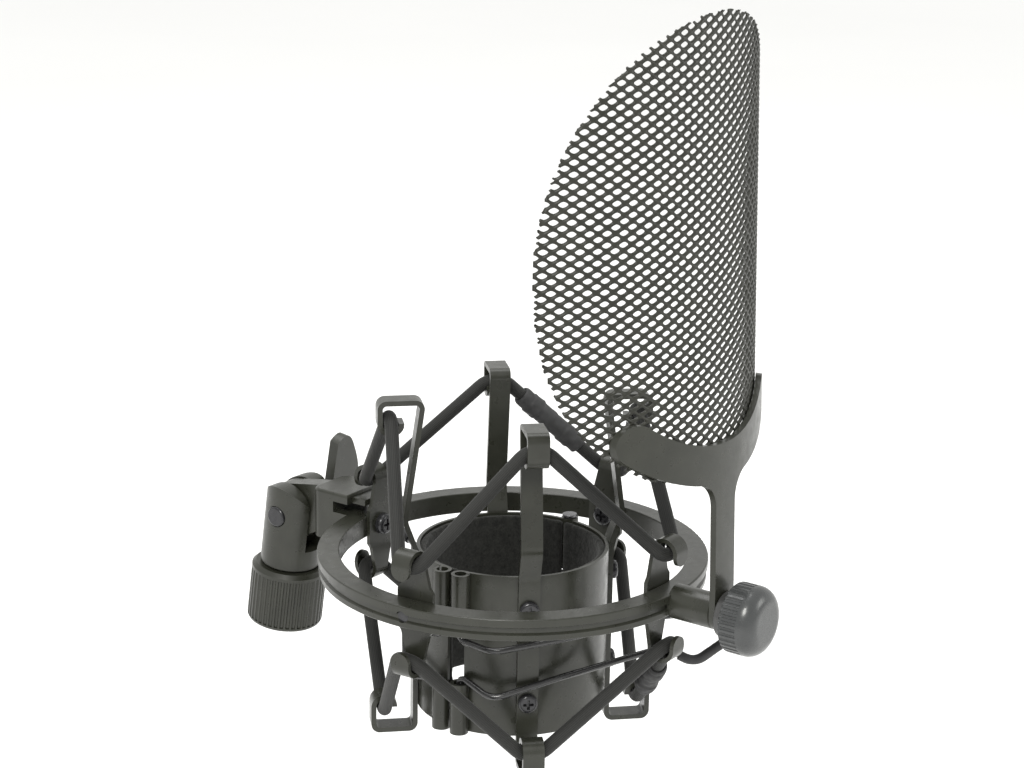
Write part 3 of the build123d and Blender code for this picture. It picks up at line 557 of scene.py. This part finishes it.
@dataclass
class ElasticLoop:
    """One closed elastic cord, zigzagging between four strap hooks and four bracket hooks."""

    name: str
    hang: Hang
    strap_r: float
    strap_z: float
    bracket_r: float
    bracket_z: float
    strap_leads: Tuple[float, float]
    bracket_leads: Tuple[float, float]
    splice: str
    cord_r: float = 2.0 * MM
    strap_angles: Tuple[float, ...] = (45.0, 135.0, 224.6, 315.0)
    bracket_angles: Tuple[float, ...] = (0.0, 90.0, 183.5, 270.0)
    strap_bodies: Tuple[Body, ...] = (Body.BACK, Body.BACK, Body.FRONT, Body.FRONT)
    bracket_grip: float = 4.8 * MM
    strap_grip: float = 5.0 * MM

    def hook(self, on_strap: bool, index: int) -> Vector:
        """Where the cord's two runs at a hook would meet.

        Args:
            on_strap: True for a strap's hook, False for a bracket's.
            index: Which of the four, counted round from +X towards +Y.

        Returns:
            The meeting point.
        """
        radius, height, angles = ((self.strap_r, self.strap_z, self.strap_angles) if on_strap
                                  else (self.bracket_r, self.bracket_z, self.bracket_angles))
        angle = math.radians(angles[index % HOOKS])
        return Vector((radius * math.cos(angle), radius * math.sin(angle), height))

    def route(self, on_strap: bool, index: int) -> List[Vector]:
        """The cord's route round one hook, from mid-run to mid-run."""
        corner = self.hook(on_strap, index)
        if on_strap:
            before, after = self.hook(False, index), self.hook(False, index + 1)
            near, far = self.strap_leads
        else:
            before, after = self.hook(True, index - 1), self.hook(True, index)
            near, far = self.bracket_leads
        come, leave = (before - corner).normalized(), (after - corner).normalized()
        return [(before + corner) / 2, corner + come * far, corner + come * near,
                corner + leave * near, corner + leave * far, (after + corner) / 2]

    @property
    def middle_z(self) -> float:
        """The height of the middle of every run."""
        return (self.strap_z + self.bracket_z) / 2

    def follow_ring(self, piece: bpy.types.Object) -> None:
        """Bake the placement of the half of a run by the bracket into its mesh."""
        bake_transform(piece)

    def follow_half(self, piece: bpy.types.Object) -> None:
        """Bake the placement of the half of a run by the strap into its mesh."""
        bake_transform(piece)

    def build(self, braid: bpy.types.Material) -> None:
        """Lay the eight hooked lengths that make up the loop."""
        for index in range(HOOKS):
            by_bracket = skin(f"{self.name}_bracket_{index}", spline_line(self.route(False, index)),
                              self.cord_r, braid)
            by_strap = skin(f"{self.name}_strap_{index}", spline_line(self.route(True, index)),
                            self.cord_r, braid)
            for piece in (by_bracket, by_strap):
                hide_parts(self.name)
            self.follow_ring(by_bracket)
            self.follow_half(by_strap)
        log.info("laid %s in eight hooked lengths", self.name)

    def build_splice(self, rubber: bpy.types.Material, bracket_index: int, strap_index: int) -> None:
        """Mould the sleeve over the cord's joint, in two lengths that meet at mid-run.

        Args:
            rubber: The sleeve's finish.
            bracket_index: The bracket hook at one end of its run.
            strap_index: The strap hook at the other.
        """
        bracket, strap = self.hook(False, bracket_index), self.hook(True, strap_index)
        middle = (bracket + strap) / 2
        towards = (strap - bracket).normalized()
        for part, keep in (("bracket", 1), ("strap", -1)):
            piece = soft_copy(f"{self.splice}_{part}_end", self.splice, 0.3 * MM, 0.25 * MM, 2.2 * MM, rubber)
            shape = bmesh.new()
            shape.from_mesh(piece.data)
            bmesh.ops.bisect_plane(shape, geom=shape.verts[:] + shape.edges[:] + shape.faces[:],
                                   plane_co=middle, plane_no=towards * keep, clear_outer=True)
            shape.to_mesh(piece.data)
            shape.free()
            if part == "bracket":
                self.follow_ring(piece)
            else:
                self.follow_half(piece)


@dataclass
class MicrophoneClamp:
    """The sprung clamp: two felt-lined half shells, their straps, the hinge pin and its spring."""

    halves: Tuple[Tuple[str, Body], ...] = (("front", Body.FRONT), ("back", Body.BACK))
    felt_flat: Tuple[float, float] = (81.9 * MM, 47.6 * MM)

    def dress(self, paint: bpy.types.Material, screw: bpy.types.Material, steel: bpy.types.Material) -> None:
        """Paint the shells and straps, plate the screws and leave the pin and spring as steel."""
        for half, _ in self.halves:
            dress(f"{half}_shell", paint)
            for side in ("left", "right"):
                dress(f"{half}_strap_{side}", paint)
            dress(f"{half}_strap_screws", screw)
        dress("hinge_pin", steel)
        dress("torsion_spring", steel)

    def line(self, felt: bpy.types.Material) -> None:
        """Lay a sheet of felt in each half shell."""
        for half, body in self.halves:
            liner = soft_copy(f"{half}_liner", f"{half}_felt", 0.6 * MM, 0.12 * MM, 1.5 * MM, felt)
            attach(liner, body.value)


@dataclass
class SqueezeHandles:
    """The two bent-wire handles and the soft sleeves on their finger loops."""

    halves: Tuple[Tuple[str, Body], ...] = (("front", Body.FRONT), ("back", Body.BACK))

    def dress(self, wire: bpy.types.Material, sleeving: bpy.types.Material) -> None:
        """Coat the wires and slide a sleeve on each finger loop."""
        for half, body in self.halves:
            dress(f"{half}_handle", wire)
            sleeve = soft_copy(f"{half}_sleeve", f"{half}_grip", 0.22 * MM, 0.06 * MM, 1.4 * MM, sleeving)
            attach(sleeve, body.value)


@dataclass
class PopFilter:
    """The pop filter: a pressed arm on a post, and a curved disc of expanded metal."""

    arm_inner_r: float = 70.3 * MM
    face_gap: float = 0.1 * MM
    sheet: float = 1.0 * MM
    centre_z: float = 99.0 * MM
    half_arc: float = 60.2 * MM
    up: float = 66.5 * MM
    down: float = 59.5 * MM
    down_power: float = 2.35
    bend: Point = (0.0, -71.2 * MM, 8.0 * MM)
    lean: float = 2.0
    long_way: float = 4.8 * MM
    short_way: float = 3.05 * MM
    lattice_turn: float = -2.5
    opening: Tuple[float, float] = (1.38 * MM, 0.83 * MM)
    opening_power: float = 1.45
    strand_thick: float = 0.55 * MM
    strand_tilt: float = 0.20 * MM
    tilt_reach: float = 0.40 * MM
    edge_share: float = 0.7
    snap: float = 0.005 * MM
    around: int = 16

    def dress(self, paint: bpy.types.Material, steel: bpy.types.Material,
              nylon: bpy.types.Material, plastic: bpy.types.Material) -> None:
        """Finish the post, stud, arm, washer and knob."""
        dress("filter_post", paint)
        dress("filter_arm", paint)
        dress("filter_stud", steel)
        dress("knob_washer", nylon)
        dress("filter_knob", plastic)

    def inside(self, across: float, height: float) -> bool:
        """Tell whether a place on the unrolled sheet lies inside the cut outline."""
        up = height - self.centre_z
        reach, power = (self.up, 2.0) if up > 0 else (self.down, self.down_power)
        return abs(across / self.half_arc) ** power + abs(up / reach) ** power < 1.0

    def cell(self) -> Tuple[np.ndarray, np.ndarray]:
        """One diamond of the lattice about its own centre.

        Returns:
            The diamond's boundary points and its opening's edge points, going round together.
        """
        half_long, half_short = self.long_way / 2, self.short_way / 2
        turns = np.arange(self.around) * math.tau / self.around
        c, s = np.cos(turns), np.sin(turns)
        size = 1 / (np.abs(c) + np.abs(s))
        rim = np.stack([half_long * c * size, half_short * s * size], axis=1)
        power = self.opening_power
        size = (np.abs(c) ** power + np.abs(s) ** power) ** (-1 / power)
        hole = np.stack([self.opening[0] * c * size, self.opening[1] * s * size], axis=1)
        return rim, hole

    def tilt(self, rise: float) -> float:
        """How far an opening's edge is twisted out of the sheet, by its rise above the middle."""
        return self.strand_tilt * math.copysign(1, rise) * min(1, abs(rise) / self.tilt_reach)

    def curve(self, across: float, height: float, out: float) -> Point:
        """Roll a place on the flat sheet round the arm's curve, and lean it with the arm."""
        radius = self.arm_inner_r - self.face_gap - self.sheet / 2
        turn = across / radius
        y = -(radius + out) * math.cos(turn) - self.bend[1]
        z = height - self.bend[2]
        tip = math.radians(self.lean)
        return ((radius + out) * math.sin(turn), self.bend[1] + y * math.cos(tip) + z * math.sin(tip),
                self.bend[2] - y * math.sin(tip) + z * math.cos(tip))

    def build_mesh(self, paint: bpy.types.Material) -> bpy.types.Object:
        """Expand the slit sheet into its diamonds, cut it round and roll it.

        Args:
            paint: The mesh's finish.

        Returns:
            The mesh screen, in place of the plain curved disc.
        """
        rim, hole = self.cell()
        turn = math.radians(self.lattice_turn)
        reach = int(max(self.up, self.half_arc) / self.short_way * 1.2) + 2
        halves = [self.strand_thick / 2 * share for share in (1.0, 1.0, self.edge_share, self.edge_share)]
        points: List[Point] = []
        faces: List[Tuple[int, ...]] = []
        found: Dict[Tuple[int, int, int], int] = {}

        def vertex(across: float, height: float, out: float, side: int) -> int:
            """Number a point, sharing it with the neighbouring diamond."""
            key = (round(across / self.snap), round(height / self.snap), side)
            if key not in found:
                found[key] = len(points)
                points.append(self.curve(across, height, out))
            return found[key]

        for row in range(-2 * reach, 2 * reach + 1):
            for column in range(-reach, reach + 1):
                x = (column + (row % 2) / 2) * self.long_way
                z = row * self.short_way / 2
                for i in range(self.around):
                    j = (i + 1) % self.around
                    flat = []
                    for px, pz in (rim[i], rim[j], hole[j], hole[i]):
                        u, v = x + px, z + pz
                        flat.append((u * math.cos(turn) - v * math.sin(turn),
                                     self.centre_z + u * math.sin(turn) + v * math.cos(turn)))
                    middle = np.mean(flat, axis=0)
                    if not self.inside(*middle) or not all(self.inside(*f) for f in flat):
                        continue
                    tilts = (0.0, 0.0, self.tilt(hole[j][1]), self.tilt(hole[i][1]))
                    top = [vertex(*f, t + h, 1) for f, t, h in zip(flat, tilts, halves)]
                    low = [vertex(*f, t - h, 0) for f, t, h in zip(flat, tilts, halves)]
                    faces.append(tuple(top))
                    faces.append(tuple(reversed(low)))
                    faces.append((top[3], top[2], low[2], low[3]))
        screen = new_piece("pop_screen", points, faces, paint)
        self.close_cut_edges(screen)
        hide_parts("filter_mesh")
        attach(screen, Body.FILTER_ARM.value)
        log.info("expanded the pop screen into %d faces", len(screen.data.polygons))
        return screen

    def close_cut_edges(self, screen: bpy.types.Object) -> None:
        """Close the strand ends where the disc was cut, so every strand is solid."""
        shape = bmesh.new()
        shape.from_mesh(screen.data)
        open_edges = [edge for edge in shape.edges if edge.is_boundary]
        bmesh.ops.holes_fill(shape, edges=open_edges, sides=8)
        bmesh.ops.recalc_face_normals(shape, faces=shape.faces[:])
        shape.to_mesh(screen.data)
        shape.free()


@dataclass
class StandSwivel:
    """The saddle on the ring, the tilting swivel with its bolt and wing, and the stand collar."""

    def dress(self, paint: bpy.types.Material, screw: bpy.types.Material, steel: bpy.types.Material,
              nylon: bpy.types.Material, brass: bpy.types.Material) -> None:
        """Finish every piece of the swivel."""
        for node in ("ring_saddle", "swivel_body", "wing_lever", "stand_collar"):
            dress(node, paint)
        dress("pivot_bolt", screw)
        dress("collar_circlip", steel)
        dress("pivot_washers", nylon)
        dress("thread_insert", brass)


@dataclass
class Studio:
    """The camera, the soft lights and the pale floor under the part."""

    azimuth: float = -54.55
    elevation: float = 15.75
    roll: float = 0.95
    distance: float = 0.650
    lens: float = 77.43
    aim_right: float = -0.15 * MM
    aim_up: float = 51.18 * MM
    floor_drop: float = 70 * MM
    floor_half: float = 12.0

    def camera_frame(self) -> Matrix:
        """The camera's place and turn.

        Returns:
            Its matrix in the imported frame.
        """
        a, e, r = (math.radians(v) for v in (self.azimuth, self.elevation, self.roll))
        back = Vector((math.sin(a) * math.cos(e), -math.cos(a) * math.cos(e), math.sin(e)))
        level = Vector((math.cos(a), math.sin(a), 0.0))
        upright = back.cross(level)
        right = level * math.cos(r) + upright * math.sin(r)
        up = upright * math.cos(r) - level * math.sin(r)
        place = right * self.aim_right + up * self.aim_up + back * self.distance
        turn = Matrix((right, up, back)).transposed().to_4x4()
        return Matrix.Translation(place) @ turn

    def set_camera(self) -> None:
        """Put the camera in place."""
        data = bpy.data.cameras.new("studio_camera")
        data.lens = self.lens
        data.sensor_width = 36.0
        data.clip_start, data.clip_end = 0.01, 20.0
        camera = bpy.data.objects.new("studio_camera", data)
        bpy.context.scene.collection.objects.link(camera)
        camera.matrix_world = self.camera_frame()
        bpy.context.scene.camera = camera

    def soft_light(self, name: str, place: Point, size: float, power: float, tone: Colour) -> None:
        """Hang a square soft light aimed at the part.

        Args:
            name: The light's name.
            place: Where it hangs.
            size: Its side.
            power: Its power, in watts.
            tone: Its colour.
        """
        data = bpy.data.lights.new(name, "AREA")
        data.size = size
        data.energy = power
        data.color = tone
        light = bpy.data.objects.new(name, data)
        bpy.context.scene.collection.objects.link(light)
        light.location = place
        aim = Vector((0, 0, 30 * MM)) - Vector(place)
        light.rotation_mode = "QUATERNION"
        light.rotation_quaternion = aim.to_track_quat("-Z", "Y")

    def light(self) -> None:
        """Light the part softly from the front, the top and behind."""
        world = bpy.data.worlds.new("studio_air")
        world.use_nodes = True
        world.node_tree.nodes["Background"].inputs["Color"].default_value = (1.0, 1.0, 0.98, 1.0)
        world.node_tree.nodes["Background"].inputs["Strength"].default_value = 1.03
        bpy.context.scene.world = world
        bpy.context.scene.view_settings.view_transform = "Standard"
        self.soft_light("key_light", (-0.75, -0.35, 0.75), 0.30, 9.0, (1.0, 0.99, 0.95))
        self.soft_light("fill_light", (0.45, -0.80, 0.35), 0.35, 2.0, (0.99, 1.0, 0.97))
        self.soft_light("top_light", (0.10, 0.25, 0.95), 0.6, 5.0, (1.0, 1.0, 1.0))

    def floor(self, lowest: float) -> None:
        """Lay a broad pale floor under the part.

        Args:
            lowest: The height of the part's lowest point.
        """
        floor_z = lowest - self.floor_drop
        ticks = np.linspace(-self.floor_half, self.floor_half, 41)
        points = [(float(x), float(y), floor_z) for y in ticks for x in ticks]
        wide = len(ticks)
        faces = [(r * wide + c, r * wide + c + 1, (r + 1) * wide + c + 1, (r + 1) * wide + c)
                 for r in range(wide - 1) for c in range(wide - 1)]
        new_piece("studio_floor", points, faces, PaleBackdrop().material())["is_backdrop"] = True


@dataclass
class ShockMount:
    """The whole part, built sub-assembly by sub-assembly."""

    ring: SuspensionRing = field(default_factory=SuspensionRing)
    clamp: MicrophoneClamp = field(default_factory=MicrophoneClamp)
    handles: SqueezeHandles = field(default_factory=SqueezeHandles)
    filter: PopFilter = field(default_factory=PopFilter)
    swivel: StandSwivel = field(default_factory=StandSwivel)
    studio: Studio = field(default_factory=Studio)

    def loops(self) -> List[ElasticLoop]:
        """The two elastic loops, with their routes' sizes."""
        upper = ElasticLoop("upper_elastic", Hang.UP, 36.2 * MM, 46.7 * MM, 57.75 * MM, 8.7 * MM,
                            (3.8 * MM, 9.3 * MM), (6.9 * MM, 13.3 * MM), "upper_splice")
        lower = ElasticLoop("lower_elastic", Hang.DOWN, 38.2 * MM, -48.05 * MM, 57.75 * MM, -9.4 * MM,
                            (3.8 * MM, 9.3 * MM), (6.4 * MM, 12.6 * MM), "lower_splice")
        return [upper, lower]

    def build(self) -> None:
        """Make every finish once, then build and dress each sub-assembly in order."""
        paint = SatinPaint().material()
        screw = TurnedMetal("black_screw", (0.020, 0.020, 0.022), (0.034, 0.034, 0.037), 0.4, 0.16, 0.3,
                            (1.0, 1.0, 1.0)).material()
        steel = TurnedMetal("dark_steel", (0.10, 0.10, 0.105), (0.17, 0.17, 0.175)).material()
        brass = TurnedMetal("insert_brass", (0.50, 0.36, 0.15), (0.62, 0.46, 0.21),
                            1.0, 0.18, 0.34).material()
        wire = WireCoating().material()
        plastic = MouldedPlastic("knob_plastic").material()
        nylon = MouldedPlastic("nylon_washer", (0.030, 0.030, 0.030), (0.044, 0.044, 0.044)).material()
        rubber = MatteRubber("splice_sleeve").material()
        sleeving = MatteRubber("soft_sleeve", (0.016, 0.016, 0.0165), (0.026, 0.026, 0.027),
                               0.45, 0.6).material()
        braid = BraidedElastic().material()
        felt = ShortFelt().material()
        mesh_paint = SatinPaint("mesh_paint", (0.0125, 0.0128, 0.0092), (0.0205, 0.0208, 0.0155), 0.34, 0.5,
                                0.4 * MM, 0.006 * MM, 0.28).material()
        self.ring.dress(paint, screw)
        self.clamp.dress(paint, screw, steel)
        self.clamp.line(felt)
        self.handles.dress(wire, sleeving)
        for loop in self.loops():
            loop.build(braid)
        upper, lower = self.loops()
        upper.build_splice(rubber, 0, 0)
        lower.build_splice(rubber, 3, 3)
        self.filter.dress(paint, steel, nylon, plastic)
        self.filter.build_mesh(mesh_paint)
        self.swivel.dress(paint, screw, steel, nylon, brass)


def main() -> None:
    """Build the part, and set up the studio."""
    logging.basicConfig(level=logging.INFO, format="%(name)s: %(message)s")
    before = [list(corner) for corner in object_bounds()]
    mount = ShockMount()
    mount.studio.set_camera()
    mount.studio.light()
    mount.build()
    mount.studio.floor(before[0][2])
    log.info("boxes written")


if __name__ == "__main__":
    main()
